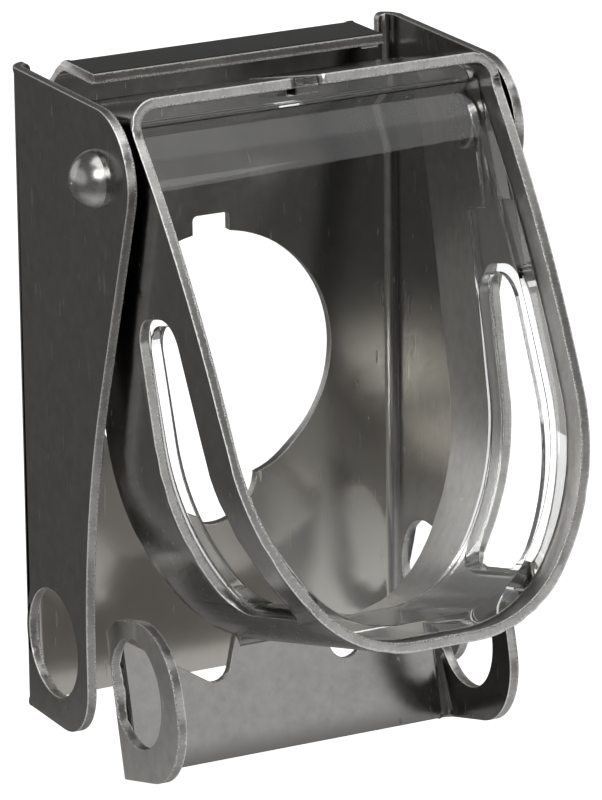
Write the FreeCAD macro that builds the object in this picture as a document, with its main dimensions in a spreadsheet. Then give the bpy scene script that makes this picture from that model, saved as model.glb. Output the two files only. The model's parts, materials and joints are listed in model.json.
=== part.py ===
import FreeCAD, Part
import math
import os
import Sketcher

# Safety cover for a panel pushbutton, in millimetres and degrees.
# X runs to the right, Y back into the panel and Z up. The origin is the centre of the button hole
# on the face that lies against the panel. The cover is drawn shut and stands at its rest angle.
SIZES = {
    # Stainless sheet of both folded pieces
    "sheet": 1.2,
    "bend_inside": 1.4,
    # Back plate of the bracket
    "side_gap": 0.54,
    "bracket_below_hoop": 12.8,
    "hole_radius": 15.4,
    "key_width": 4.72,
    "key_depth": 2.06,
    "key_corner": 0.6,
    "foot_notch_radius": 5.35,
    "foot_notch_rise": 0.95,
    # Lip along the top of the bracket and its bend reliefs
    "lip_depth": 9.54,
    "relief_head_width": 3.89,
    "relief_foot_width": 2.18,
    "relief_depth": 3.8,
    "stub_corner": 0.8,
    # Flanges of the bracket
    "lug_radius": 7.65,
    "lug_lead": 0.5,
    "lug_lift": 0.4,
    "lug_brow_share": 0.355,
    "waist_depth": 17.85,
    "waist_height": 10.1,
    "waist_setback": 16.0,
    "foot_corner": 6.2,
    "lock_radius": 6.4,
    "lock_depth": 9.05,
    "lock_rise": 9.75,
    # Hinge rivets
    "hinge_behind_brow": 7.1,
    "hinge_below_top": 8.2,
    "shank_radius": 2.0,
    "running_gap": 0.06,
    "head_radius": 3.3,
    "head_rim": 0.3,
    "head_height": 3.0,
    "tail_radius": 3.0,
    "tail_thickness": 1.0,
    "tail_corner": 0.4,
    "tail_gap": 0.15,
    # Hoop of the cover, seen from the front
    "hoop_top_half": 23.14,
    "knee_inset": 0.97,
    "hoop_knee_drop": 9.95,
    "hoop_toe_half": 11.17,
    "hoop_height": 38.8,
    "hoop_drop": 24.75,
    "hoop_corner": 3.2,
    "knee_share": 0.56,
    "toe_share": 0.41,
    # Hoop of the cover, seen from the side
    "lip_gap": 2.06,
    "front_high_depth": 30.1,
    "front_reach": 14.7,
    "front_knee_height": 4.5,
    "brow_below_top": 3.8,
    "front_share": 0.95,
    "brow_radius": 3.0,
    # Seam between the two arms of the hoop
    "seam_left": 2.4,
    "seam_right": 0.6,
    "seam_corner": 0.8,
    # Finger slots in the sides of the hoop
    "slot_start": 1.0,
    "slot_top": 14.6,
    "slot_rise": 5.05,
    "slot_width_top": 9.0,
    "slot_width_foot": 16.0,
    "slot_corner_top": 3.0,
    "slot_corner_brow": 4.0,
    "slot_corner_heel": 3.5,
    "slot_corner_toe": 2.0,
    # Hasp of the cover
    "closed_gap": 0.2,
    "neck_half": 5.0,
    "hasp_side_gap": 1.83,
    "hasp_overhang": 0.95,
    "hasp_bend_inside": 1.3,
    "hasp_notch_x": 7.4,
    "hasp_notch_below": 5.85,
    "hasp_notch_corner": 2.1,
    "hasp_shoulder_rise": 17.3,
    "ear_front": 19.45,
    "ear_height": 18.5,
    "ear_corner": 8.3,
    "ear_slope_depth": 6.5,
    "ear_slope_drop": 2.2,
    "ear_hole_ahead": 0.25,
    "ear_hole_below": 0.5,
    # Clear window moulded to sit inside the hoop
    "window_fit": 0.05,
    "window_wall": 1.5,
    "window_setback": 3.0,
    "window_start": 0.4,
    "window_slot_lap": 1.0,
    "tail_relief_ahead": 1.0,
    "tail_relief_below": 6.6,
    "tail_relief_above": 2.0,
    "boss_fit": 0.1,
    "boss_start": 0.6,
    "boss_recess": 0.5,
    # Angle at which the cover stands open at rest
    "rest_angle": 14.2,
}

# How far a cutting outline reaches past the piece that it cuts.
BEYOND = 12.0


class Size:
    """A size as its number and as the expression that ties it to the sheet of sizes."""

    def __init__(self, number, text=None):
        self.number = float(number)
        self.text = text or "%.6f" % self.number

    def joined(self, sign, other, number):
        return Size(number, "(%s %s %s)" % (self.text, sign, other.text))

    def __add__(self, other):
        other = as_size(other)
        return self.joined("+", other, self.number + other.number)

    def __sub__(self, other):
        other = as_size(other)
        return self.joined("-", other, self.number - other.number)

    def __mul__(self, other):
        other = as_size(other)
        return self.joined("*", other, self.number * other.number)

    def __neg__(self):
        return Size(-self.number, "(0 - %s)" % self.text)


def as_size(item):
    return item if isinstance(item, Size) else Size(item)


def length(across, along):
    """Length of a slanting side from its two runs."""
    text = "sqrt(%s^2 + %s^2)" % (across.text, along.text)
    return Size(math.hypot(across.number, along.number), text)


class Sheet:
    """The driving sizes, each one reached by its name."""

    def __init__(self, doc):
        cells = doc.addObject("Spreadsheet::Sheet", "Sizes")
        for row, (name, number) in enumerate(SIZES.items(), start=1):
            cells.set("A%d" % row, name)
            cells.set("B%d" % row, str(number))
            cells.setAlias("B%d" % row, name)
        doc.recompute()
        for name in SIZES:
            setattr(self, name, Size(cells.get(name), "Sizes." + name))


def derive(s):
    """Sizes and places that follow from the driving sizes, so that what fits together stays together."""
    s.hoop_knee_half = s.hoop_top_half - s.knee_inset
    s.inner_half = s.hoop_top_half + s.side_gap
    s.bracket_half_width = s.inner_half + s.sheet
    s.bracket_drop = s.hoop_drop + s.bracket_below_hoop
    s.relief_wall = s.bracket_half_width - s.bend_inside - s.sheet
    s.lip_half_width = s.relief_wall - s.relief_head_width
    s.relief_foot = s.relief_wall - s.relief_foot_width
    s.key_reach = s.hole_radius + s.key_depth
    s.foot_notch_drop = s.hole_radius - s.foot_notch_rise
    s.lock_drop = s.bracket_drop - s.lock_rise
    s.hinge_depth = s.front_high_depth - s.hinge_behind_brow
    s.hinge_height = s.hoop_height - s.hinge_below_top
    s.hoop_back = s.lip_depth + s.lip_gap
    s.front_low_depth = s.front_high_depth + s.front_reach
    s.front_brow_height = s.hoop_height - s.brow_below_top
    s.slot_back = s.hinge_depth + s.slot_start
    s.slot_front_high = s.slot_back + s.slot_width_top
    s.slot_front_low = s.slot_back + s.slot_width_foot
    s.slot_drop = s.hoop_drop - s.slot_rise
    s.hasp_half = s.inner_half - s.hasp_side_gap
    s.hasp_drop = s.bracket_drop + s.hasp_overhang
    s.hasp_notch_drop = s.hoop_drop + s.hasp_notch_below
    s.hasp_shoulder_drop = s.hasp_drop - s.hasp_shoulder_rise
    s.ear_top_drop = s.hasp_drop - s.ear_height
    s.ear_hole_depth = s.lock_depth + s.ear_hole_ahead
    s.ear_hole_drop = s.lock_drop + s.ear_hole_below
    s.window_back = s.hinge_depth + s.window_start
    s.boss_back = s.window_back + s.boss_start
    s.tail_relief_depth = s.hinge_depth + s.tail_radius + s.tail_relief_ahead
    s.tail_relief_foot = s.hinge_height - s.tail_radius - s.tail_relief_below
    s.tail_relief_head = s.hinge_height + s.tail_radius + s.tail_relief_above


def plane(body, role):
    return next(item for item in body.Origin.OriginFeatures if item.Role == role)


def new_sketch(body, name, role, height=None):
    """A sketch on one of the body's own planes, lifted along the plane's normal by height."""
    sketch = body.newObject("Sketcher::SketchObject", name)
    sketch.AttachmentSupport = [(plane(body, role), "")]
    sketch.MapMode = "FlatFace"
    if height is not None:
        sketch.AttachmentOffset = FreeCAD.Placement(FreeCAD.Vector(0, 0, height.number), FreeCAD.Rotation())
        sketch.setExpression("AttachmentOffset.Base.z", height.text)
    return sketch


def bind(sketch, kind, where, value):
    """Adds one dimension to a sketch and ties it to the sheet."""
    index = sketch.addConstraint(Sketcher.Constraint(kind, *where, value.number))
    if "Sizes." in value.text:
        sketch.setExpression("Constraints[%d]" % index, value.text)


def pin(sketch, item, end, x, y):
    bind(sketch, "DistanceX", (-1, 1, item, end), x)
    bind(sketch, "DistanceY", (-1, 1, item, end), y)


def toward(start, end):
    step = end - start
    step.normalize()
    return step


class Corner:
    """A corner of an outline, sharp, or rounded by a radius or by how far the round starts from it."""

    def __init__(self, x, y, radius=None, setback=None):
        self.x, self.y = as_size(x), as_size(y)
        self.radius, self.setback = radius, setback
        self.point = FreeCAD.Vector(self.x.number, self.y.number, 0)

    @property
    def rounded(self):
        return self.radius is not None or self.setback is not None

    def round_off(self, before, after):
        """The two ends and the centre of the round, and whether it turns to the left."""
        back, ahead = toward(self.point, before), toward(self.point, after)
        half = back.getAngle(ahead) / 2
        if self.setback is not None:
            reach = self.setback.number
        else:
            reach = self.radius.number / math.tan(half)
        middle = back + ahead
        middle.normalize()
        centre = self.point + middle * (reach / math.cos(half))
        turn = (-back).cross(ahead).z
        return self.point + back * reach, self.point + ahead * reach, centre, turn > 0


def arc_between(first, last, centre, left):
    """A round from first to last, and the end numbers that it has there."""
    circle = Part.Circle(centre, FreeCAD.Vector(0, 0, 1), (first - centre).Length)
    angles = [math.atan2(point.y - centre.y, point.x - centre.x) for point in (first, last)]
    if not left:
        angles.reverse()
    if angles[1] < angles[0]:
        angles[1] += 2 * math.pi
    return Part.ArcOfCircle(circle, *angles), (1, 2) if left else (2, 1)


def outline(sketch, corners):
    """A closed outline of straight sides whose corners are sharp or rounded."""
    count = len(corners)
    ends = []
    for place, corner in enumerate(corners):
        before, after = corners[place - 1].point, corners[(place + 1) % count].point
        ends.append(corner.round_off(before, after) if corner.rounded else (corner.point, corner.point))
    sides = []
    for place in range(count):
        start, end = ends[place][1], ends[(place + 1) % count][0]
        sides.append(sketch.addGeometry(Part.LineSegment(start, end), False))
    rounds = []
    for place, corner in enumerate(corners):
        arriving, leaving = sides[place - 1], sides[place]
        if not corner.rounded:
            sketch.addConstraint(Sketcher.Constraint("Coincident", arriving, 2, leaving, 1))
            pin(sketch, leaving, 1, corner.x, corner.y)
            rounds.append(None)
            continue
        arc, (first, last) = arc_between(*ends[place])
        item = sketch.addGeometry(arc, False)
        mark = sketch.addGeometry(Part.Point(corner.point), True)
        sketch.addConstraint([
            Sketcher.Constraint("Tangent", arriving, 2, item, first),
            Sketcher.Constraint("Tangent", leaving, 1, item, last),
            Sketcher.Constraint("PointOnObject", mark, 1, arriving),
            Sketcher.Constraint("PointOnObject", mark, 1, leaving),
        ])
        pin(sketch, mark, 1, corner.x, corner.y)
        if corner.setback is not None:
            bind(sketch, "Distance", (mark, 1, leaving, 1), corner.setback)
        else:
            bind(sketch, "Radius", (item,), corner.radius)
        rounds.append((item, first, last))
    return {"sides": sides, "rounds": rounds, "ends": ends}


def inset(sketch, base, depth):
    """The same outline again, drawn inside a fully rounded one at an even depth."""
    count = len(base["sides"])
    ends = []
    for first, last, centre, left in base["ends"]:
        ends.append((first + toward(first, centre) * depth.number,
                     last + toward(last, centre) * depth.number, centre, left))
    sides = []
    for place in range(count):
        line = Part.LineSegment(ends[place][1], ends[(place + 1) % count][0])
        sides.append(sketch.addGeometry(line, False))
    rounds = []
    for place in range(count):
        arc, (first, last) = arc_between(*ends[place])
        item = sketch.addGeometry(arc, False)
        outer, outer_first, _ = base["rounds"][place]
        sketch.addConstraint([
            Sketcher.Constraint("Tangent", sides[place - 1], 2, item, first),
            Sketcher.Constraint("Tangent", sides[place], 1, item, last),
            Sketcher.Constraint("Coincident", item, 3, outer, 3),
        ])
        bind(sketch, "Distance", (item, first, outer, outer_first), depth)
        rounds.append((item, first, last))
    return {"sides": sides, "rounds": rounds, "ends": ends}


def circle(sketch, x, y, radius):
    x, y = as_size(x), as_size(y)
    centre = FreeCAD.Vector(x.number, y.number, 0)
    item = sketch.addGeometry(Part.Circle(centre, FreeCAD.Vector(0, 0, 1), radius.number), False)
    pin(sketch, item, 3, x, y)
    bind(sketch, "Radius", (item,), radius)


def mirrored(corners):
    """The same corners on the other side of the sketch's upright axis, in the opposite order."""
    return [Corner(-item.x, item.y, item.radius, item.setback) for item in reversed(corners)]


def extend(body, kind, name, sketch, depth=None, both=False, reverse=False):
    """A pad or pocket of a sketch, to one side or evenly to both, checked to change the volume."""
    before = body.Shape.Volume if body.Shape.Solids else 0.0
    feature = body.newObject("PartDesign::" + kind, name)
    feature.Profile = sketch
    feature.SideType = "Symmetric" if both else "One side"
    feature.Reversed = reverse
    if depth is None:
        feature.Type = "ThroughAll"
    else:
        feature.Type = "Length"
        feature.Length = depth.number
        feature.setExpression("Length", depth.text)
    body.Document.recompute()
    gain = body.Shape.Volume - before
    if (gain <= 0) if kind == "Pad" else (gain >= 0):
        raise RuntimeError(name + " leaves the piece unchanged")
    return feature


def pad(body, name, sketch, depth, both=False, reverse=False):
    return extend(body, "Pad", name, sketch, depth, both, reverse)


def pocket(body, name, sketch, depth=None):
    return extend(body, "Pocket", name, sketch, depth, both=True)


def round_edges(body, name, radius, chosen):
    """Rounds the edges of the body's last feature that the test picks."""
    tip = body.Tip
    names = ["Edge%d" % (place + 1) for place, edge in enumerate(tip.Shape.Edges) if chosen(edge)]
    feature = body.newObject("PartDesign::Fillet", name)
    feature.Base = (tip, names)
    feature.Radius = radius.number
    feature.setExpression("Radius", radius.text)
    body.Document.recompute()


def channel(body, name, half, depth, bend, thickness, low, high):
    """A folded channel: a plate across the back and two flanges forward, seen from above."""
    back, front = depth
    inside = half - thickness
    sketch = new_sketch(body, name + "Section", "XY_Plane", low)
    outline(sketch, [
        Corner(-half, front), Corner(-half, back, radius=bend + thickness),
        Corner(half, back, radius=bend + thickness), Corner(half, front),
        Corner(inside, front), Corner(inside, back - thickness, radius=bend),
        Corner(-inside, back - thickness, radius=bend), Corner(-inside, front),
    ])
    return pad(body, name, sketch, high - low)


def base_bracket(doc, s):
    """Back plate with two flanges and a top lip, folded from one sheet."""
    body = doc.addObject("PartDesign::Body", "base_bracket")
    half, top = s.bracket_half_width, s.hinge_height + s.lug_lift + s.lug_radius
    lug_front = s.hinge_depth + s.lug_lead + s.lug_radius + s.sheet
    outer_bend = s.bend_inside + s.sheet
    channel(body, "Channel", half, (as_size(0), -lug_front), s.bend_inside, s.sheet, -s.bracket_drop, top)
    flange_shape(body, s, top, lug_front)
    lip_and_reliefs(body, s, top, outer_bend)
    button_hole(body, s)
    sketch = new_sketch(body, "FlangeHoles", "YZ_Plane")
    circle(sketch, -s.hinge_depth, s.hinge_height, s.shank_radius)
    circle(sketch, -s.lock_depth, -s.lock_drop, s.lock_radius)
    pocket(body, "FlangeHolesCut", sketch)
    return body


def flange_shape(body, s, top, lug_front):
    """Cuts the blank flanges to their outline: round lug, sloping waist and rounded foot."""
    waist_y = -s.waist_depth
    lug_y = -(s.hinge_depth + s.lug_lead)
    # The sloping side leaves the waist for the point where the lug is widest.
    brow_y = lug_y - s.lug_radius - s.lug_radius * s.lug_brow_share
    sketch = new_sketch(body, "FlangeOutline", "YZ_Plane")
    outline(sketch, [
        Corner(BEYOND, -s.bracket_drop), Corner(waist_y, -s.bracket_drop, radius=s.foot_corner),
        Corner(waist_y, -s.waist_height, setback=s.waist_setback),
        Corner(brow_y, top, radius=s.lug_radius), Corner(BEYOND, top),
    ])
    ahead, below = -(lug_front + BEYOND), -(s.bracket_drop + BEYOND)
    outline(sketch, [
        Corner(BEYOND * 2, below), Corner(ahead, below), Corner(ahead, top + BEYOND),
        Corner(BEYOND * 2, top + BEYOND),
    ])
    pocket(body, "FlangeTrim", sketch)


def lip_and_reliefs(body, s, top, outer_bend):
    """Folds the lip forward along the top, with a relief cut at each end of its bend."""
    wall = s.relief_wall
    bend_foot = top - outer_bend
    sketch = new_sketch(body, "LipClearance", "XZ_Plane")
    outline(sketch, [
        Corner(-wall, bend_foot), Corner(wall, bend_foot),
        Corner(wall, top + BEYOND), Corner(-wall, top + BEYOND),
    ])
    pocket(body, "LipClearanceCut", sketch)
    sketch = new_sketch(body, "LipSection", "YZ_Plane")
    outline(sketch, [
        Corner(0, bend_foot - s.sheet), Corner(0, top, radius=outer_bend), Corner(-s.lip_depth, top),
        Corner(-s.lip_depth, top - s.sheet), Corner(-s.sheet, top - s.sheet, radius=s.bend_inside),
        Corner(-s.sheet, bend_foot - s.sheet),
    ])
    pad(body, "Lip", sketch, s.relief_foot * 2, both=True)
    sketch = new_sketch(body, "Reliefs", "XZ_Plane")
    right = [
        Corner(wall, top + BEYOND), Corner(s.lip_half_width, top + BEYOND),
        Corner(s.lip_half_width, top - s.stub_corner), Corner(s.relief_foot, top - s.relief_depth),
        Corner(wall, top - s.relief_depth),
    ]
    outline(sketch, right)
    outline(sketch, mirrored(right))
    pocket(body, "ReliefCuts", sketch)
    stub = wall.number

    def on_stub(edge):
        box = edge.BoundBox
        upright = abs(abs(box.Center.x) - stub) < 0.01 and abs(box.Center.z - top.number) < 0.01
        return upright and box.YLength > 0.5 * s.sheet.number and box.XLength < 0.01

    round_edges(body, "StubCorners", s.stub_corner, on_stub)


def button_hole(body, s):
    """The button's round hole, with a key slot above it and a half-round notch below it."""
    sketch = new_sketch(body, "ButtonHole", "XZ_Plane")
    circle(sketch, 0, 0, s.hole_radius)
    pocket(body, "ButtonHoleCut", sketch, s.sheet * 4)
    sketch = new_sketch(body, "KeySlot", "XZ_Plane")
    side = s.key_width * 0.5
    outline(sketch, [
        Corner(-side, 0), Corner(side, 0), Corner(side, s.key_reach, radius=s.key_corner),
        Corner(-side, s.key_reach, radius=s.key_corner),
    ])
    pocket(body, "KeySlotCut", sketch, s.sheet * 4)
    sketch = new_sketch(body, "FootNotch", "XZ_Plane")
    circle(sketch, 0, -s.foot_notch_drop, s.foot_notch_radius)
    pocket(body, "FootNotchCut", sketch, s.sheet * 4)


def hoop_corners(s):
    """The hoop's outer outline from the front, as corners that are all rounded."""
    chamfer = length(s.hoop_knee_half - s.hoop_toe_half, s.hoop_drop - s.hoop_knee_drop)
    right = [
        Corner(s.hoop_top_half, s.hoop_height, radius=s.hoop_corner),
        Corner(s.hoop_knee_half, -s.hoop_knee_drop, setback=chamfer * s.knee_share),
        Corner(s.hoop_toe_half, -s.hoop_drop, setback=chamfer * s.toe_share),
    ]
    return right + mirrored(right)


def front_line(s, back):
    """The curved front edge from the side, from its top to its foot, moved back by a distance."""
    high, low = back - s.front_high_depth, back - s.front_low_depth
    slope = length(s.front_low_depth - s.front_high_depth, s.front_brow_height - s.front_knee_height)
    return [
        Corner(high, s.hoop_height + BEYOND),
        Corner(high, s.front_brow_height, radius=s.brow_radius),
        Corner(low, s.front_knee_height, setback=slope * s.front_share),
        Corner(low, -(s.hoop_drop + BEYOND)),
    ]


def trim_front(body, s, back):
    """Cuts away all that stands in front of the curved front edge."""
    sketch = new_sketch(body, "FrontEdge", "YZ_Plane")
    ahead = -(s.front_low_depth + BEYOND)
    outline(sketch, front_line(s, back) + [
        Corner(ahead, -(s.hoop_drop + BEYOND)), Corner(ahead, s.hoop_height + BEYOND),
    ])
    pocket(body, "FrontEdgeCut", sketch)


def side_slots(body, s, lap):
    """Opens the finger slot through both sides, smaller by lap at its ends and front."""
    sketch = new_sketch(body, "SideSlot", "YZ_Plane")
    outline(sketch, [
        Corner(-s.slot_back, s.slot_top - lap, radius=s.slot_corner_top),
        Corner(lap - s.slot_front_high, s.slot_top - lap, radius=s.slot_corner_brow),
        Corner(lap - s.slot_front_low, lap - s.slot_drop, radius=s.slot_corner_toe),
        Corner(-(s.slot_back + lap), lap - s.slot_drop, radius=s.slot_corner_heel),
    ])
    pocket(body, "SideSlotCut", sketch)


def cover_frame(doc, s):
    """Hoop round the window and the hasp below it, folded from one sheet."""
    body = doc.addObject("PartDesign::Body", "cover_frame")
    plate_y = -(s.sheet + s.closed_gap)
    hasp_plate(body, s, plate_y)
    hasp_neck(body, s, plate_y)
    sketch = new_sketch(body, "HoopSection", "XZ_Plane", s.hoop_back)
    outer = outline(sketch, hoop_corners(s))
    inset(sketch, outer, s.sheet)
    pad(body, "Hoop", sketch, s.front_low_depth - s.hoop_back + s.sheet)
    trim_front(body, s, as_size(0))
    side_slots(body, s, as_size(0))
    hoop_seam(body, s)
    sketch = new_sketch(body, "HingeHoles", "YZ_Plane")
    circle(sketch, -s.hinge_depth, s.hinge_height, s.shank_radius + s.running_gap)
    pocket(body, "HingeHolesCut", sketch)
    stand_open(body, s)
    return body


def hasp_plate(body, s, plate_y):
    """Plate that lies over the bracket, with an ear folded forward at each end."""
    front = plate_y - s.sheet
    channel(body, "Hasp", s.hasp_half, (plate_y, -s.ear_front), s.hasp_bend_inside, s.sheet,
            -s.hasp_drop, -s.ear_top_drop)
    sketch = new_sketch(body, "HaspTop", "XZ_Plane")
    notch = [
        Corner(s.hasp_half + BEYOND, -s.hasp_shoulder_drop), Corner(s.hasp_half, -s.hasp_shoulder_drop),
        Corner(s.hasp_notch_x, -s.hasp_notch_drop, radius=s.hasp_notch_corner),
        Corner(s.neck_half, -(s.hoop_drop - s.sheet)),
    ]
    outline(sketch, notch + [Corner(-item.x, item.y, item.radius) for item in reversed(notch)] + [
        Corner(-(s.hasp_half + BEYOND), BEYOND), Corner(s.hasp_half + BEYOND, BEYOND),
    ])
    pocket(body, "HaspTopCut", sketch, -(front - s.hasp_bend_inside) * 2)
    sketch = new_sketch(body, "EarOutline", "YZ_Plane")
    ear_front, ear_top, ear_foot = -s.ear_front, -s.ear_top_drop, -s.hasp_drop
    outline(sketch, [
        Corner(BEYOND, ear_foot), Corner(ear_front, ear_foot, radius=s.ear_corner),
        Corner(ear_front, ear_top, radius=s.ear_corner), Corner(-s.ear_slope_depth, ear_top),
        Corner(plate_y, ear_top - s.ear_slope_drop), Corner(BEYOND, ear_top - s.ear_slope_drop),
    ])
    outline(sketch, [
        Corner(BEYOND * 2, ear_foot - BEYOND), Corner(ear_front - BEYOND, ear_foot - BEYOND),
        Corner(ear_front - BEYOND, ear_top + BEYOND), Corner(BEYOND * 2, ear_top + BEYOND),
    ])
    pocket(body, "EarTrim", sketch)
    sketch = new_sketch(body, "EarHoles", "YZ_Plane")
    circle(sketch, -s.ear_hole_depth, -s.ear_hole_drop, s.lock_radius)
    pocket(body, "EarHolesCut", sketch)


def hasp_neck(body, s, plate_y):
    """Neck that runs back from the foot of the hoop and bends down into the hasp plate."""
    upper, lower = s.sheet - s.hoop_drop, -s.hoop_drop
    start, foot = -(s.hoop_back + s.sheet), -s.hasp_notch_drop
    sketch = new_sketch(body, "NeckSection", "YZ_Plane")
    outline(sketch, [
        Corner(start, lower), Corner(start, upper),
        Corner(plate_y, upper, radius=s.hasp_bend_inside + s.sheet), Corner(plate_y, foot),
        Corner(plate_y - s.sheet, foot), Corner(plate_y - s.sheet, lower, radius=s.hasp_bend_inside),
    ])
    pad(body, "Neck", sketch, s.neck_half * 2, both=True)


def hoop_seam(body, s):
    """Parts the two arms of the hoop where they meet at the top, and rounds their tips."""
    sketch = new_sketch(body, "Seam", "XZ_Plane")
    under = s.hoop_height - s.sheet * 2
    outline(sketch, [
        Corner(-s.seam_left, under), Corner(s.seam_right, under),
        Corner(s.seam_right, s.hoop_height + s.sheet), Corner(-s.seam_left, s.hoop_height + s.sheet),
    ])
    pocket(body, "SeamCut", sketch)
    sides = (-s.seam_left.number, s.seam_right.number)

    def on_tip(edge):
        box = edge.BoundBox
        upright = box.ZLength > 0.5 * s.sheet.number and box.XLength < 0.01 and box.YLength < 0.01
        return upright and min(abs(box.Center.x - side) for side in sides) < 0.01

    round_edges(body, "SeamCorners", s.seam_corner, on_tip)


def clear_window(doc, s):
    """Clear cup moulded to sit inside the hoop, with a curved face and side walls."""
    body = doc.addObject("PartDesign::Body", "clear_window")
    skin = s.sheet + s.window_fit
    inner = s.window_setback + s.window_wall
    sketch = new_sketch(body, "Face", "YZ_Plane")
    outline(sketch, front_line(s, s.window_setback) + list(reversed(front_line(s, inner))))
    pad(body, "FaceSlab", sketch, s.hoop_top_half * 2, both=True)
    sketch = new_sketch(body, "FaceOutline", "XZ_Plane")
    inset(sketch, construction_hoop(sketch, s), skin)
    reach_x, low, high = s.hoop_top_half + BEYOND, -(s.hoop_drop + BEYOND * 2), s.hoop_height + BEYOND * 2
    outline(sketch, [
        Corner(-reach_x, low), Corner(reach_x, low), Corner(reach_x, high), Corner(-reach_x, high),
    ])
    pocket(body, "FaceTrim", sketch)
    sketch = new_sketch(body, "WallSection", "XZ_Plane", s.window_back)
    hoop = construction_hoop(sketch, s)
    inset(sketch, hoop, skin)
    inset(sketch, hoop, skin + s.window_wall)
    pad(body, "Walls", sketch, s.front_low_depth - s.window_back)
    trim_front(body, s, s.window_setback)
    side_slots(body, s, s.window_slot_lap)
    sketch = new_sketch(body, "TailRelief", "YZ_Plane")
    outline(sketch, [
        Corner(0, s.tail_relief_foot), Corner(0, s.tail_relief_head),
        Corner(-s.tail_relief_depth, s.tail_relief_head), Corner(-s.tail_relief_depth, s.tail_relief_foot),
    ])
    pocket(body, "TailReliefCut", sketch)
    seam_boss(body, s, skin)
    stand_open(body, s)
    return body


def construction_hoop(sketch, s):
    """The hoop's outer outline as guide lines only."""
    hoop = outline(sketch, hoop_corners(s))
    for item in hoop["sides"] + [entry[0] for entry in hoop["rounds"]]:
        sketch.setConstruction(item, True)
    return hoop


def seam_boss(body, s, skin):
    """Boss on top of the window that fills the seam between the arms of the hoop."""
    sketch = new_sketch(body, "SeamBoss", "XZ_Plane", s.boss_back)
    under, above = s.hoop_height - skin - s.window_wall * 0.5, s.hoop_height - s.boss_fit
    left, right = s.boss_fit - s.seam_left, s.seam_right - s.boss_fit
    outline(sketch, [Corner(left, under), Corner(right, under), Corner(right, above), Corner(left, above)])
    pad(body, "SeamBossPad", sketch, s.front_high_depth - s.boss_back - s.boss_recess)


def stand_open(body, s):
    """Stands a piece of the cover at its rest angle about the line through the rivets."""
    hinge = "vector(0; 0 - %s; %s)" % (s.hinge_depth.text, s.hinge_height.text)
    turn = "rotation(vector(-1; 0; 0); %s)" % s.rest_angle.text
    body.setExpression("Placement", "placement(vector(0; 0; 0); %s; %s)" % (turn, hinge))


def rivet(doc, s, name, turned):
    """Domed rivet through the flange and the hoop, with its formed tail inside the hoop."""
    body = doc.addObject("PartDesign::Body", name)
    # The hoop's side leans inwards by this much at the height of the hinge.
    lean = (s.hoop_top_half - s.hoop_knee_half).number / (s.hoop_height + s.hoop_knee_drop).number
    lean_in = (s.hoop_height - s.hinge_height + s.tail_radius) * lean
    seat = s.bracket_half_width - s.hoop_top_half + s.sheet + lean_in + s.tail_gap
    end = seat + s.tail_thickness
    sketch = new_sketch(body, "Profile", "XY_Plane")
    points = [
        (as_size(0), as_size(0)), (-end, as_size(0)), (-end, s.tail_radius), (-seat, s.tail_radius),
        (-seat, s.shank_radius), (as_size(0), s.shank_radius), (as_size(0), s.head_radius),
        (s.head_rim, s.head_radius), (s.head_height, as_size(0)),
    ]
    spots = [FreeCAD.Vector(x.number, y.number, 0) for x, y in points]
    sides = []
    for place in range(1, 7):
        sides.append(sketch.addGeometry(Part.LineSegment(spots[place], spots[place + 1]), False))
    rise = s.head_height.number - s.head_rim.number
    ball = (s.head_radius.number ** 2 + rise ** 2) / (2 * rise)
    centre = FreeCAD.Vector(s.head_height.number - ball, 0, 0)
    arc, _ = arc_between(spots[8], spots[7], centre, True)
    dome = sketch.addGeometry(arc, False)
    base = sketch.addGeometry(Part.LineSegment(spots[8], spots[1]), False)
    for place in range(5):
        sketch.addConstraint(Sketcher.Constraint("Coincident", sides[place], 2, sides[place + 1], 1))
    sketch.addConstraint([
        Sketcher.Constraint("Coincident", sides[5], 2, dome, 2),
        Sketcher.Constraint("Coincident", dome, 1, base, 1),
        Sketcher.Constraint("Coincident", base, 2, sides[0], 1),
        Sketcher.Constraint("PointOnObject", dome, 3, -1),
    ])
    for place, item in enumerate(sides):
        pin(sketch, item, 1, *points[place + 1])
    pin(sketch, sides[5], 2, *points[7])
    pin(sketch, dome, 1, *points[8])
    turning = body.newObject("PartDesign::Revolution", "Turning")
    turning.Profile = sketch
    turning.ReferenceAxis = (plane(body, "X_Axis"), [""])
    turning.Angle = 360
    body.Document.recompute()
    tail_end = -end.number

    def on_tail(edge):
        return edge.Closed and abs(edge.BoundBox.Center.x - tail_end) < 0.01

    round_edges(body, "TailCorner", s.tail_corner, on_tail)
    seat_x = -s.bracket_half_width if turned else s.bracket_half_width
    seat = "vector(%s; 0 - %s; %s)" % (seat_x.text, s.hinge_depth.text, s.hinge_height.text)
    turn = "rotation(vector(0; 0; 1); %d)" % (180 if turned else 0)
    body.setExpression("Placement", "placement(%s; %s)" % (seat, turn))
    return body


def write_parts(doc, bodies):
    """Checks that every object is sound and writes each piece to a file of its own."""
    doc.recompute()
    for item in doc.Objects:
        if "Invalid" in item.State or "Error" in item.State:
            raise RuntimeError("%s is not sound: %s" % (item.Name, item.State))
    for body in bodies:
        if body.Shape.isNull() or not body.Shape.isValid() or len(body.Shape.Solids) != 1:
            raise RuntimeError(body.Label + " has no sound solid")
    os.makedirs("parts", exist_ok=True)
    for body in bodies:
        body.Shape.exportStep(os.path.join("parts", body.Label + ".step"))


def main():
    doc = FreeCAD.newDocument("pushbutton_safety_cover")
    s = Sheet(doc)
    derive(s)
    write_parts(doc, [
        base_bracket(doc, s),
        cover_frame(doc, s),
        clear_window(doc, s),
        rivet(doc, s, "rivet_left", turned=True),
        rivet(doc, s, "rivet_right", turned=False),
    ])


main()
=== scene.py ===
import json
import math

import bmesh
import bpy
from mathutils import Matrix, Vector
from mathutils.bvhtree import BVHTree
from mathutils.kdtree import KDTree

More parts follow.
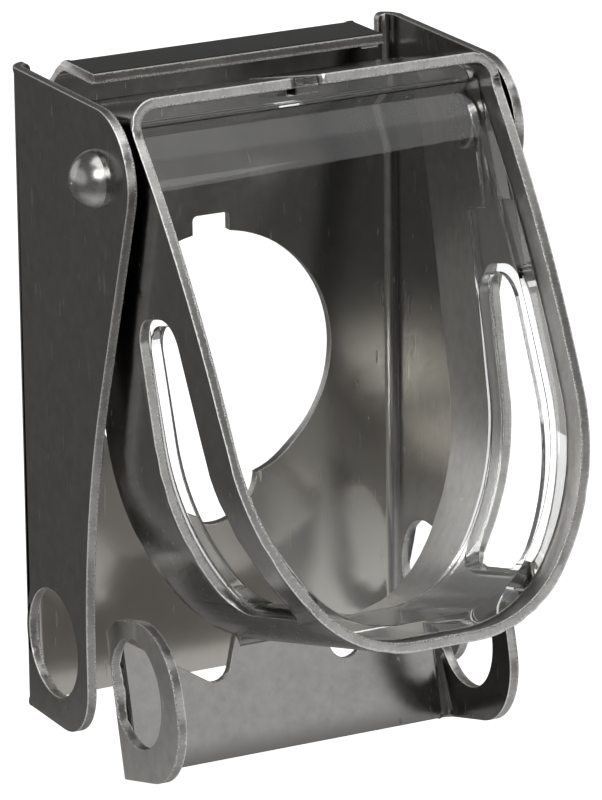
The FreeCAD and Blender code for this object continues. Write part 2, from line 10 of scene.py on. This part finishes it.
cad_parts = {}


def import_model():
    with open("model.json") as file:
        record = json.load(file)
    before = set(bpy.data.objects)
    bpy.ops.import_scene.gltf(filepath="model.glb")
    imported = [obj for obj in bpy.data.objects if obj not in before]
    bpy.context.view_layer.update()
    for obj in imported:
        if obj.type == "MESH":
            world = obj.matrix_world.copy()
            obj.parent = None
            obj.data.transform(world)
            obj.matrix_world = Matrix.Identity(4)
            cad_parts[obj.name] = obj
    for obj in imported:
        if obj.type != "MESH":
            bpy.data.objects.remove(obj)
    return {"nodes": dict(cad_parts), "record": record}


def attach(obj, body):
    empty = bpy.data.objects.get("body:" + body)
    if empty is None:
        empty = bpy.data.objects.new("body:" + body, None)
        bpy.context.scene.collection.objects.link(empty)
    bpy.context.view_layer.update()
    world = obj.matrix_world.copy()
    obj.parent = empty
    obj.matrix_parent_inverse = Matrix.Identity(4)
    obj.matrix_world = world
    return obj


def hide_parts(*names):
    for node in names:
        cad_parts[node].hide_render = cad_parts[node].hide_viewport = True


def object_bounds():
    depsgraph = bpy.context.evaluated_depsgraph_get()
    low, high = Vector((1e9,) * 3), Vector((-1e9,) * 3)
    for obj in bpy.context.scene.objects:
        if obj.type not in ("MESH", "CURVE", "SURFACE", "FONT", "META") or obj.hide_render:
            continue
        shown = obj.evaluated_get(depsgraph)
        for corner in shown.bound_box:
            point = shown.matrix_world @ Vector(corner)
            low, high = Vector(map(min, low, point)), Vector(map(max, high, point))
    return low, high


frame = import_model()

CAD_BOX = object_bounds()

# Safety cover for a panel pushbutton, in metres. X runs right, Y back into the panel, Z up.
MM = 0.001

# The camera, found from the corners of the photographed cover
CAMERA_PLACE = Vector((-334.376, -668.097, 226.807)) * MM
CAMERA_RIGHT = Vector((0.885854, -0.463802, -0.012239))
CAMERA_UP = Vector((0.147892, 0.257271, 0.954955))
CAMERA_BACK = Vector((-0.439761, -0.847761, 0.296498))
CAMERA_CLIP = (0.01, 20.0)
FOCAL_PIXELS = 6725.61
PICTURE_HEIGHT = 800
SENSOR = 36.0

# The sides of a sheet piece and their material slots: entered by the punch, left by it, sheared
ROLL_SIDE, BURR_SIDE, SHEARED = 0, 1, 2

# Telling the sides of a sheet apart
SHEET = 1.2 * MM
SHEET_SLACK = 0.12 * MM
SAME_SIDE = math.radians(30)
BORE_REACH = 4 * MM
BORE_SLACK_MM = 0.1
BORE_SQUARE = 0.1

# The rolled-over edge: width and depth of each step, and the neck, which has none
ROLL_STEPS = ((0.45 * MM, 0.11 * MM), (0.4 * MM, 0.03 * MM))
OFF_SURFACE = 0.12 * MM
NECK_LOW = Vector((-7, -30, -30)) * MM
NECK_HIGH = Vector((7, -14, -22)) * MM

# Meshes
MERGE = 0.001 * MM
FLAT = math.radians(0.5)
RIM_STEP = 0.05 * MM
SHARP = math.radians(40)
EDGE_ROUND = 0.07 * MM
EDGE_SEGMENTS = 2
MOULD_ROUND = 0.16 * MM
MOULD_SEGMENTS = 3
FLAT_WEIGHT = 80

# Sheet steel finishes: name, tone, roughness, tone at the foot of the front face, which is painted: a
# pale painted reflection of the table on the bracket, painted shade on the cover
BRACKET_FINISH_AND_PAINTED_FOOT = ("bracket_sheet", 0.31, 0.17, (0.66, 0.635, 0.585))
COVER_FINISH_AND_PAINTED_FOOT = ("cover_sheet", 0.31, 0.19, (0.16, 0.155, 0.15))
# The inside faces of the cover are a paler copy of the same cover steel: painted light
INNER_PAINTED_PALER_FINISH = ("cover_inner_sheet", 0.55, 0.3, (0.5, 0.49, 0.47))
WARMTH = (1.0, 0.972, 0.935)
FRONT = -0.9

# Heights over which a front face fades into its painted tone at the foot: painted reflection on the
# bracket, painted shade on the cover
BRACKET_PAINTED_FOOT = (-12 * MM, 16 * MM)
COVER_PAINTED_FOOT = (CAD_BOX[0].z, CAD_BOX[0].z + 3.5 * MM)

# Fine scratches: turn and scale of the noise that each set is cut from
SCRATCHES = (((0.3, 0.5, 0.2), (1500, 3000, 220)), ((1.1, -0.4, 0.8), (2600, 1300, 180)))

# Floor
FLOOR_DROP = 16 * MM
FLOOR_BACK = -0.02
FLOOR_RADIUS = 0.6
FLOOR_CORNERS = 64
FLOOR_GLOW = 0.8
FLOOR_FADE_BACK = (-0.03, 0.06)
FLOOR_FADE_ROUND = (0.09, 0.16)

# Surroundings that the metal shows: direction (azimuth, elevation), half angle, softness, strength
GLOWS = [
    ("card front right", (30, 3), 12, 9, 0.85),
    ("card left", (-104, 2), 24, 14, 0.45),
    ("backdrop", (-148, 8), 16, 12, 0.6),
]
SURROUND = 0.1

# Soft lamps: direction (azimuth, elevation), distance, size, power
LAMPS = [
    ("camera softbox", (-27, 33), 1.1, 0.5, 5.0),
    ("overhead softbox", (22, 78), 2.4, 2.3, 26.0),
]


def only(piece):
    """Makes one piece the only selected and active one."""
    bpy.ops.object.select_all(action="DESELECT")
    piece.select_set(True)
    bpy.context.view_layer.objects.active = piece


def open_mesh(piece, action):
    """Opens one piece for editing, with everything selected (SELECT) or nothing (DESELECT)."""
    only(piece)
    bpy.ops.object.mode_set(mode="EDIT")
    bpy.ops.mesh.select_all(action=action)


def close_mesh():
    bpy.ops.object.mode_set(mode="OBJECT")


def apply_all(piece):
    """Applies the modifiers of a piece."""
    only(piece)
    for modifier in list(piece.modifiers):
        bpy.ops.object.modifier_apply(modifier=modifier.name)


def copy_node(node, name):
    """A new piece with the mesh of a construction node, its loose triangles merged."""
    piece = bpy.data.objects.new(name, frame["nodes"][node].data.copy())
    piece.data.name = name
    bpy.context.scene.collection.objects.link(piece)
    only(piece)
    piece.data.materials.clear()
    if piece.data.has_custom_normals:
        bpy.ops.mesh.customdata_custom_splitnormals_clear()
    open_mesh(piece, "SELECT")
    bpy.ops.mesh.remove_doubles(threshold=MERGE)
    close_mesh()
    return piece


def soften(piece, width, segments):
    """Rounds the sharp edges and smooths the shading without bending it over the flat faces."""
    bevel = piece.modifiers.new("rounded edges", "BEVEL")
    bevel.width = width
    bevel.segments = segments
    bevel.limit_method = "ANGLE"
    bevel.angle_limit = SHARP
    bevel.use_clamp_overlap = False
    bevel.miter_outer = "MITER_ARC"
    apply_all(piece)
    bpy.ops.object.shade_smooth()
    weighted = piece.modifiers.new("flat faces stay flat", "WEIGHTED_NORMAL")
    weighted.weight = FLAT_WEIGHT
    apply_all(piece)


def hand_over(piece, node, body):
    """Puts a piece on its body, in the place of its construction node."""
    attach(piece, body)
    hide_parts(node)


def in_bore(face):
    """True on the wall of a hole that the record states."""
    centre = face.calc_center_median()
    for mount in frame["record"]["mounts"]:
        if mount["kind"] != "bore":
            continue
        axis, away = Vector(mount["axis"]), centre - Vector(mount["pos_m"])
        along = away.dot(axis)
        reach = (away - axis * along).length / MM
        if abs(along) < BORE_REACH and abs(reach - mount["dims"]["r_mm"]) < BORE_SLACK_MM:
            if abs(face.normal.dot(axis)) < BORE_SQUARE:
                return True
    return False


def is_sheet_face(face, tree):
    """True on the broad faces of the sheet, where the other side lies one thickness below."""
    if in_bore(face):
        return False
    start = face.calc_center_median() - face.normal * SHEET_SLACK * 0.5
    _, _, _, distance = tree.ray_cast(start, -face.normal, SHEET * 4)
    return distance is not None and abs(distance + SHEET_SLACK * 0.5 - SHEET) < SHEET_SLACK


def surface_patches(faces, bend):
    """Groups faces that join over shared edges with no sharper angle than bend."""
    waiting = set(faces)
    patches = []
    for start in faces:
        if start not in waiting:
            continue
        waiting.discard(start)
        patch, front = [], [start]
        while front:
            face = front.pop()
            patch.append(face)
            for edge in face.edges:
                for near in edge.link_faces:
                    if near in waiting and near.normal.angle(face.normal, math.pi) <= bend:
                        waiting.discard(near)
                        front.append(near)
        patches.append(patch)
    return patches


def sort_faces(piece):
    """Marks each face as the side that the punch entered, the side that it left, or sheared."""
    mesh = bmesh.new()
    mesh.from_mesh(piece.data)
    tree = BVHTree.FromBMesh(mesh)
    for face in mesh.faces:
        face.material_index = SHEARED
    broad = []
    for patch in surface_patches(list(mesh.faces), SAME_SIDE):
        flat = sum(face.calc_area() for face in patch if is_sheet_face(face, tree))
        if flat > 0.5 * sum(face.calc_area() for face in patch):
            broad.append(patch)
    widest = max(broad, key=lambda patch: max(abs(v.co.x) for face in patch for v in face.verts))
    for patch in broad:
        for face in patch:
            face.material_index = ROLL_SIDE if patch is widest else BURR_SIDE
    mesh.to_mesh(piece.data)
    mesh.free()


def rim_points(mesh):
    """Points along the rims of the punch side: place, way along the rim in mm, length of the rim."""
    waiting = set()
    for edge in mesh.edges:
        if {face.material_index for face in edge.link_faces} == {ROLL_SIDE, SHEARED}:
            waiting.add(edge)
    points = []
    while waiting:
        edge = min(waiting, key=lambda item: item.index)
        vert, way, ring = edge.verts[0], 0.0, []
        while edge is not None:
            waiting.discard(edge)
            far = edge.other_vert(vert)
            span = edge.calc_length()
            steps = max(1, int(span / RIM_STEP))
            for step in range(steps):
                ring.append((vert.co.lerp(far.co, step / steps), (way + span * step / steps) / MM))
            vert, way = far, way + span
            edge = next((near for near in vert.link_edges if near in waiting), None)
        points += [(place, along, way / MM) for place, along in ring]
    return points


def lay_edge_map(piece):
    """Lays the sheared strips out flat: along the edge one way, through the sheet the other way."""
    mesh = bmesh.new()
    mesh.from_mesh(piece.data)
    layer = mesh.loops.layers.uv.new("edge")
    points = rim_points(mesh)
    tree = KDTree(len(points))
    for index, (place, _, _) in enumerate(points):
        tree.insert(place, index)
    tree.balance()
    for face in mesh.faces:
        if face.material_index != SHEARED:
            continue
        first = None
        for loop in face.loops:
            _, index, away = tree.find(loop.vert.co)
            _, along, whole = points[index]
            first = along if first is None else first
            along += whole * round((first - along) / whole)
            loop[layer].uv = (along, away / MM)
    mesh.to_mesh(piece.data)
    mesh.free()


def select_sides(piece, sides):
    """Adds some sides of the sheet to the selection."""
    mesh = bmesh.from_edit_mesh(piece.data)
    for face in mesh.faces:
        if face.material_index in sides:
            face.select_set(True)
    bmesh.update_edit_mesh(piece.data)


def side_tree(mesh, side):
    """The faces of one side of the sheet, to measure distances from."""
    corners = [tuple(vert.co) for vert in mesh.verts]
    faces = [[vert.index for vert in face.verts] for face in mesh.faces if face.material_index == side]
    return BVHTree.FromPolygons(corners, faces)


def in_neck(place):
    """True where the hoop turns into the hasp, with cut edges too close together to be rolled."""
    return all(low < value < high for low, value, high in zip(NECK_LOW, place, NECK_HIGH))


def hide_neck(piece):
    """Takes the neck out of the selection."""
    mesh = bmesh.from_edit_mesh(piece.data)
    for face in mesh.faces:
        if face.select and any(in_neck(vert.co) for vert in face.verts):
            face.select_set(False)
            face.hide_set(True)
    bmesh.update_edit_mesh(piece.data)


def rim_normals(mesh):
    """The way that the selected faces look at each vertex of their rim, the neck left out."""
    rim = {}
    for vert in mesh.verts:
        inner = [face.normal for face in vert.link_faces if face.select]
        hidden = any(face.hide for face in vert.link_faces)
        if inner and len(inner) < len(vert.link_faces) and not hidden:
            rim[vert.index] = sum(inner, Vector()).normalized()
    return rim


def roll_step(piece, width, drop):
    """Insets the selected faces by a width and lowers the rim that they had."""
    rim = rim_normals(bmesh.from_edit_mesh(piece.data))
    bpy.ops.mesh.inset(
        thickness=width, use_boundary=True, use_even_offset=False, use_relative_offset=False)
    mesh = bmesh.from_edit_mesh(piece.data)
    mesh.verts.ensure_lookup_table()
    for index, normal in rim.items():
        mesh.verts[index].co -= normal * drop
    bmesh.update_edit_mesh(piece.data)


def hold_to(piece, surface):
    """Puts vertices that strayed back on the surface, and shows the neck again."""
    mesh = bmesh.from_edit_mesh(piece.data)
    for vert in mesh.verts:
        if any(face.material_index == ROLL_SIDE for face in vert.link_faces):
            place, _, _, away = surface.find_nearest(vert.co)
            if away > OFF_SURFACE:
                vert.co = place
    for face in mesh.faces:
        face.hide_set(False)
    bmesh.update_edit_mesh(piece.data)


def roll_over(piece):
    """Draws the edge of the punch side down in a shallow roll."""
    open_mesh(piece, "DESELECT")
    select_sides(piece, (ROLL_SIDE,))
    surface = side_tree(bmesh.from_edit_mesh(piece.data), ROLL_SIDE)
    hide_neck(piece)
    for width, drop in ROLL_STEPS:
        roll_step(piece, width, drop)
    hold_to(piece, surface)
    close_mesh()


def sheet_piece(node, name, body, paint):
    """A folded sheet piece: rolled-over edge on one side, sheared strip, rounded corners."""
    piece = copy_node(node, name)
    sort_faces(piece)
    for material in paint:
        piece.data.materials.append(material)
    open_mesh(piece, "DESELECT")
    select_sides(piece, (ROLL_SIDE, BURR_SIDE))
    bpy.ops.mesh.dissolve_limited(angle_limit=FLAT, delimit={"MATERIAL"})
    close_mesh()
    lay_edge_map(piece)
    roll_over(piece)
    soften(piece, EDGE_ROUND, EDGE_SEGMENTS)
    hand_over(piece, node, body)


def window_piece(material):
    """The clear moulding, with rounded edges."""
    piece = copy_node("clear_window", "window")
    piece.data.materials.append(material)
    open_mesh(piece, "SELECT")
    bpy.ops.mesh.dissolve_limited(angle_limit=FLAT)
    close_mesh()
    soften(piece, MOULD_ROUND, MOULD_SEGMENTS)
    hand_over(piece, "clear_window", "cover")


class Nodes:
    """The nodes of a new material, or of the world, added and joined by short calls."""

    def __init__(self, name, tree=None):
        self.tree = tree
        if tree is None:
            self.material = bpy.data.materials.new(name)
            self.material.use_nodes = True
            self.tree = self.material.node_tree
            self.shader = self.tree.nodes["Principled BSDF"]
            self.place = self.add("ShaderNodeTexCoord").outputs["Object"]

    def add(self, kind, **settings):
        node = self.tree.nodes.new(kind)
        for key, value in settings.items():
            setattr(node, key, value)
        return node

    def join(self, out, into):
        self.tree.links.new(out, into)

    def stretched(self, source, scale, turn=(0, 0, 0)):
        node = self.add("ShaderNodeMapping")
        node.inputs["Scale"].default_value = scale
        node.inputs["Rotation"].default_value = turn
        self.join(source, node.inputs["Vector"])
        return node.outputs["Vector"]

    def parts(self, source):
        """The X, Y and Z of a vector."""
        node = self.add("ShaderNodeSeparateXYZ")
        self.join(source, node.inputs["Vector"])
        return node.outputs

    def noise(self, source, scale, detail=3.0, rough=0.5):
        node = self.add("ShaderNodeTexNoise")
        node.inputs["Scale"].default_value = scale
        node.inputs["Detail"].default_value = detail
        node.inputs["Roughness"].default_value = rough
        self.join(source, node.inputs["Vector"])
        return node.outputs["Fac"]

    def ramp(self, source, *stops):
        node = self.add("ShaderNodeValToRGB")
        while len(node.color_ramp.elements) < len(stops):
            node.color_ramp.elements.new(0.5)
        for element, (place, tone) in zip(node.color_ramp.elements, stops):
            element.position = place
            element.color = (*tone, 1) if isinstance(tone, tuple) else (tone, tone, tone, 1)
        self.join(source, node.inputs["Fac"])
        return node.outputs["Color"]

    def fade(self, source, ends, values=(0.0, 1.0), kind="LINEAR"):
        """Goes from the first value to the second while the source goes from end to end."""
        node = self.add("ShaderNodeMapRange", interpolation_type=kind)
        self.join(source, node.inputs["Value"])
        node.inputs["From Min"].default_value, node.inputs["From Max"].default_value = ends
        node.inputs["To Min"].default_value, node.inputs["To Max"].default_value = values
        return node.outputs["Result"]

    def reckon(self, first, second, kind):
        node = self.add("ShaderNodeMath", operation=kind)
        for item, socket in ((first, node.inputs[0]), (second, node.inputs[1])):
            if isinstance(item, (int, float)):
                socket.default_value = item
            else:
                self.join(item, socket)
        return node.outputs["Value"]

    def plus(self, first, second):
        return self.reckon(first, second, "ADD")

    def times(self, first, second):
        return self.reckon(first, second, "MULTIPLY")

    def mix(self, share, first, second):
        node = self.add("ShaderNodeMix", data_type="RGBA")
        sockets = [item for item in node.inputs if item.enabled]
        for item, socket in zip((share, first, second), sockets):
            if isinstance(item, (int, float)):
                socket.default_value = item
            elif isinstance(item, tuple):
                socket.default_value = (*item, 1)
            else:
                self.join(item, socket)
        return next(item for item in node.outputs if item.enabled)

    def scratches(self):
        """Sparse fine scratches in two directions, 1 on a scratch and 0 beside it."""
        found = None
        for turn, scale in SCRATCHES:
            noise = self.noise(self.stretched(self.place, scale, turn), 1.0, 1, 0.4)
            lines = self.ramp(noise, (0.73, 0.0), (0.78, 1.0))
            found = lines if found is None else self.reckon(found, lines, "MAXIMUM")
        return found

    def bump(self, height, strength, distance):
        node = self.add("ShaderNodeBump")
        node.inputs["Strength"].default_value = strength
        node.inputs["Distance"].default_value = distance
        self.join(height, node.inputs["Height"])
        self.join(node.outputs["Normal"], self.shader.inputs["Normal"])


def shade(tone, share):
    return tuple(min(1.0, value * share) for value in tone)


def steel_colour(n, tone, cloud, scratches):
    """The colour of a sheet: cloudy, with paler blots and scratches."""
    blot = n.noise(n.stretched(n.place, (260, 260, 140)), 1.0, 3, 0.55)
    warm = shade(WARMTH, tone)
    colour = n.mix(n.ramp(cloud, (0.35, 0.0), (0.65, 1.0)), shade(warm, 0.9), shade(warm, 1.1))
    colour = n.mix(n.ramp(blot, (0.38, 0.0), (0.64, 0.3)), colour, shade(warm, 1.22))
    return n.mix(n.times(scratches, 0.4), colour, shade(warm, 1.8))


def painted_foot_mask(n, foot):
    """1 at the foot of the faces that look forward, 0 above it and on other faces: where the painted
    reflection and painted shade of the foot go.
    """
    fade = n.fade(n.parts(n.place)["Z"], foot, (1.0, 0.0), "SMOOTHSTEP")
    normal = n.add("ShaderNodeNewGeometry").outputs["Normal"]
    return n.times(n.reckon(n.parts(normal)["Y"], FRONT, "LESS_THAN"), fade)


def sheet_steel(name, tone, rough, painted_foot_tone, foot):
    """Cold-rolled stainless sheet: faint rolling grain, soft cloudy mottling, a few fine scratches.

    Faces that look forward fade over the heights of foot into their tone at the foot, which is painted
    in the colour: a pale painted reflection of the table in front of the real part on the bracket, and
    painted shade on the cover."""
    n = Nodes(name)
    n.shader.inputs["Metallic"].default_value = 1.0
    grain = n.noise(n.stretched(n.place, (3200, 3200, 120)), 1.0, 3, 0.6)
    cloud = n.noise(n.place, 700, 4, 0.65)
    scratches = n.scratches()
    colour = steel_colour(n, tone, cloud, scratches)
    # Painted reflection and painted shade: forward faces fade into a painted tone at their foot
    n.join(n.mix(painted_foot_mask(n, foot), colour, painted_foot_tone), n.shader.inputs["Base Color"])
    roughness = n.plus(n.times(cloud, 0.08), n.times(grain, 0.06))
    roughness = n.plus(roughness, n.times(scratches, 0.12))
    n.join(n.plus(roughness, rough - 0.07), n.shader.inputs["Roughness"])
    n.bump(n.plus(n.times(grain, 0.2), cloud), 0.06, 0.02 * MM)
    return n.material


def sheared_steel():
    """The sheared edge: a painted highlight line along the rolled border, a burnished part with fine
    lines, torn grains at the burr.
    """
    n = Nodes("sheared_steel")
    n.shader.inputs["Metallic"].default_value = 1.0
    edge = n.add("ShaderNodeUVMap", uv_map="edge").outputs["UV"]
    lines = n.noise(n.stretched(edge, (6.0, 0.35, 1)), 1.0, 3, 0.7)
    patches = n.noise(n.stretched(edge, (0.35, 0.3, 1)), 1.0, 3, 0.6)
    ragged = n.noise(n.stretched(edge, (2.0, 0.2, 1)), 1.0, 4, 0.7)
    grains = n.noise(edge, 6.5, 3, 0.75)
    depth = n.times(n.plus(n.parts(edge)["Y"], n.times(ragged, 0.8)), 0.5)
    torn = n.ramp(depth, (0.655, 0.0), (0.675, 1.0))
    # Painted highlight: a near-white line along the rolled border stands in for the glint on its crest
    painted_glint = n.ramp(depth, (0.28, 1.0), (0.30, 0.0))
    tone = n.plus(n.times(lines, 0.5), n.times(patches, 0.5))
    smooth = n.mix(n.ramp(tone, (0.36, 0.0), (0.64, 1.0)), (0.40, 0.39, 0.375), (0.64, 0.63, 0.61))
    rough = n.mix(n.ramp(grains, (0.42, 0.0), (0.56, 1.0)), (0.20, 0.195, 0.19), (1.0, 0.99, 0.97))
    colour = n.mix(torn, n.mix(painted_glint, smooth, (0.98, 0.97, 0.95)), rough)
    n.join(colour, n.shader.inputs["Base Color"])
    roughness = n.plus(n.times(torn, 0.18), n.times(painted_glint, 0.18))
    n.join(n.plus(roughness, 0.32), n.shader.inputs["Roughness"])
    n.bump(n.plus(n.times(lines, 0.4), n.times(torn, grains)), 0.5, 0.06 * MM)
    return n.material


def rivet_steel():
    """Turned steel, a little cloudy."""
    n = Nodes("rivet_steel")
    n.shader.inputs["Metallic"].default_value = 1.0
    cloud = n.noise(n.place, 900, 3, 0.6)
    tone = n.ramp(cloud, (0.35, 0.0), (0.65, 1.0))
    n.join(n.mix(tone, (0.44, 0.43, 0.41), (0.56, 0.55, 0.53)), n.shader.inputs["Base Color"])
    n.join(n.plus(n.times(cloud, 0.12), 0.22), n.shader.inputs["Roughness"])
    n.bump(cloud, 0.08, 0.02 * MM)
    return n.material


def clear_plastic():
    """Clear moulded plastic, slightly wavy."""
    n = Nodes("clear_plastic")
    n.shader.inputs["Base Color"].default_value = (0.985, 0.99, 0.985, 1)
    n.shader.inputs["Transmission Weight"].default_value = 1.0
    n.shader.inputs["IOR"].default_value = 1.49
    wave = n.noise(n.place, 90, 2, 0.5)
    n.join(n.times(wave, 0.02), n.shader.inputs["Roughness"])
    n.bump(wave, 0.03, 0.1 * MM)
    return n.material


def camera():
    data = bpy.data.cameras.new("camera")
    data.sensor_width = SENSOR
    data.lens = FOCAL_PIXELS / PICTURE_HEIGHT * SENSOR
    data.clip_start, data.clip_end = CAMERA_CLIP
    eye = bpy.data.objects.new("camera", data)
    bpy.context.scene.collection.objects.link(eye)
    turn = Matrix((CAMERA_RIGHT, CAMERA_UP, CAMERA_BACK)).transposed().to_4x4()
    eye.matrix_world = Matrix.Translation(CAMERA_PLACE) @ turn
    bpy.context.scene.camera = eye


def straight_through(n):
    """1 for what is seen directly or through the clear plastic, 0 for what the metal mirrors."""
    rays = n.add("ShaderNodeLightPath").outputs
    unmirrored = n.reckon(rays["Glossy Depth"], 0.5, "LESS_THAN")
    through = n.times(rays["Is Transmission Ray"], unmirrored)
    return n.reckon(rays["Is Camera Ray"], through, "MAXIMUM")


def floor_white():
    """White floor that the metal sees as a pale table in front and a dark room behind."""
    n = Nodes("floor_white")
    n.shader.inputs["Roughness"].default_value = 0.9
    n.shader.inputs["Emission Color"].default_value = (1, 1, 1, 1)
    rays = n.add("ShaderNodeLightPath").outputs
    seen = straight_through(n)
    n.join(n.times(seen, FLOOR_GLOW), n.shader.inputs["Emission Strength"])
    away = n.add("ShaderNodeVectorMath", operation="LENGTH")
    n.join(n.place, away.inputs[0])
    back = n.fade(n.parts(n.place)["Y"], FLOOR_FADE_BACK)
    around = n.fade(away.outputs["Value"], FLOOR_FADE_ROUND)
    mirrored = n.times(rays["Is Glossy Ray"], n.reckon(1.0, seen, "SUBTRACT"))
    dark = n.times(n.reckon(back, around, "MAXIMUM"), mirrored)
    n.join(n.mix(dark, (0.85, 0.85, 0.85), (0.21, 0.205, 0.195)), n.shader.inputs["Base Color"])
    return n.material


def floor():
    place = (0, FLOOR_BACK, CAD_BOX[0].z - FLOOR_DROP)
    bpy.ops.object.select_all(action="DESELECT")
    bpy.ops.mesh.primitive_circle_add(
        vertices=FLOOR_CORNERS, radius=FLOOR_RADIUS, fill_type="NGON", location=place)
    piece = bpy.context.object
    piece.name = "floor"
    bpy.ops.object.transform_apply(location=True, rotation=True, scale=True)
    piece.data.materials.append(floor_white())


def direction(azimuth, elevation):
    """The way to a place around the part: azimuth 0 is in front of it, 90 on its right."""
    a, e = math.radians(azimuth), math.radians(elevation)
    return Vector((math.sin(a) * math.cos(e), -math.cos(a) * math.cos(e), math.sin(e)))


def world():
    """White to the camera, and dark with a few soft patches of light to the metal."""
    scene = bpy.context.scene
    scene.world = bpy.data.worlds.new("studio")
    scene.world.use_nodes = True
    n = Nodes("studio", scene.world.node_tree)
    light = n.tree.nodes["Background"]
    light.inputs["Color"].default_value = (1, 1, 1, 1)
    way = n.add("ShaderNodeTexCoord").outputs["Generated"]
    total = SURROUND
    for _, (azimuth, elevation), half, soft, strength in GLOWS:
        dot = n.add("ShaderNodeVectorMath", operation="DOT_PRODUCT")
        n.join(way, dot.inputs[0])
        dot.inputs[1].default_value = direction(azimuth, elevation)
        ends = (math.cos(math.radians(half + soft)), math.cos(math.radians(half)))
        glow = n.fade(dot.outputs["Value"], ends, (0.0, strength), "SMOOTHSTEP")
        total = n.plus(glow, total)
    seen = straight_through(n)
    mirrored = n.times(total, n.reckon(1.0, seen, "SUBTRACT"))
    n.join(n.plus(mirrored, seen), light.inputs["Strength"])


def lamps():
    aim = (CAD_BOX[0] + CAD_BOX[1]) / 2
    for name, (azimuth, elevation), distance, size, power in LAMPS:
        data = bpy.data.lights.new(name, "AREA")
        data.size = size
        data.energy = power
        lamp = bpy.data.objects.new(name, data)
        bpy.context.scene.collection.objects.link(lamp)
        way = direction(azimuth, elevation)
        lamp.location = aim + way * distance
        lamp.rotation_mode = "QUATERNION"
        lamp.rotation_quaternion = (-way).to_track_quat("-Z", "Y")
        lamp.visible_camera = False


def main():
    bpy.context.scene.view_settings.view_transform = "Standard"
    bracket_steel = sheet_steel(*BRACKET_FINISH_AND_PAINTED_FOOT, BRACKET_PAINTED_FOOT)
    cover_steel = sheet_steel(*COVER_FINISH_AND_PAINTED_FOOT, COVER_PAINTED_FOOT)
    inner_steel = sheet_steel(*INNER_PAINTED_PALER_FINISH, COVER_PAINTED_FOOT)
    sheared = sheared_steel()
    bracket_paint = (bracket_steel, bracket_steel, sheared)
    # The inside faces of the cover get the paler copy of its steel: painted light
    cover_paint = (cover_steel, inner_steel, sheared)
    sheet_piece("base_bracket", "bracket", "bracket", bracket_paint)
    sheet_piece("cover_frame", "hoop_and_hasp", "cover", cover_paint)
    window_piece(clear_plastic())
    rivet = rivet_steel()
    for side in ("left", "right"):
        for slot in frame["nodes"]["rivet_" + side].material_slots:
            slot.material = rivet
    camera()
    floor()
    world()
    lamps()


main()
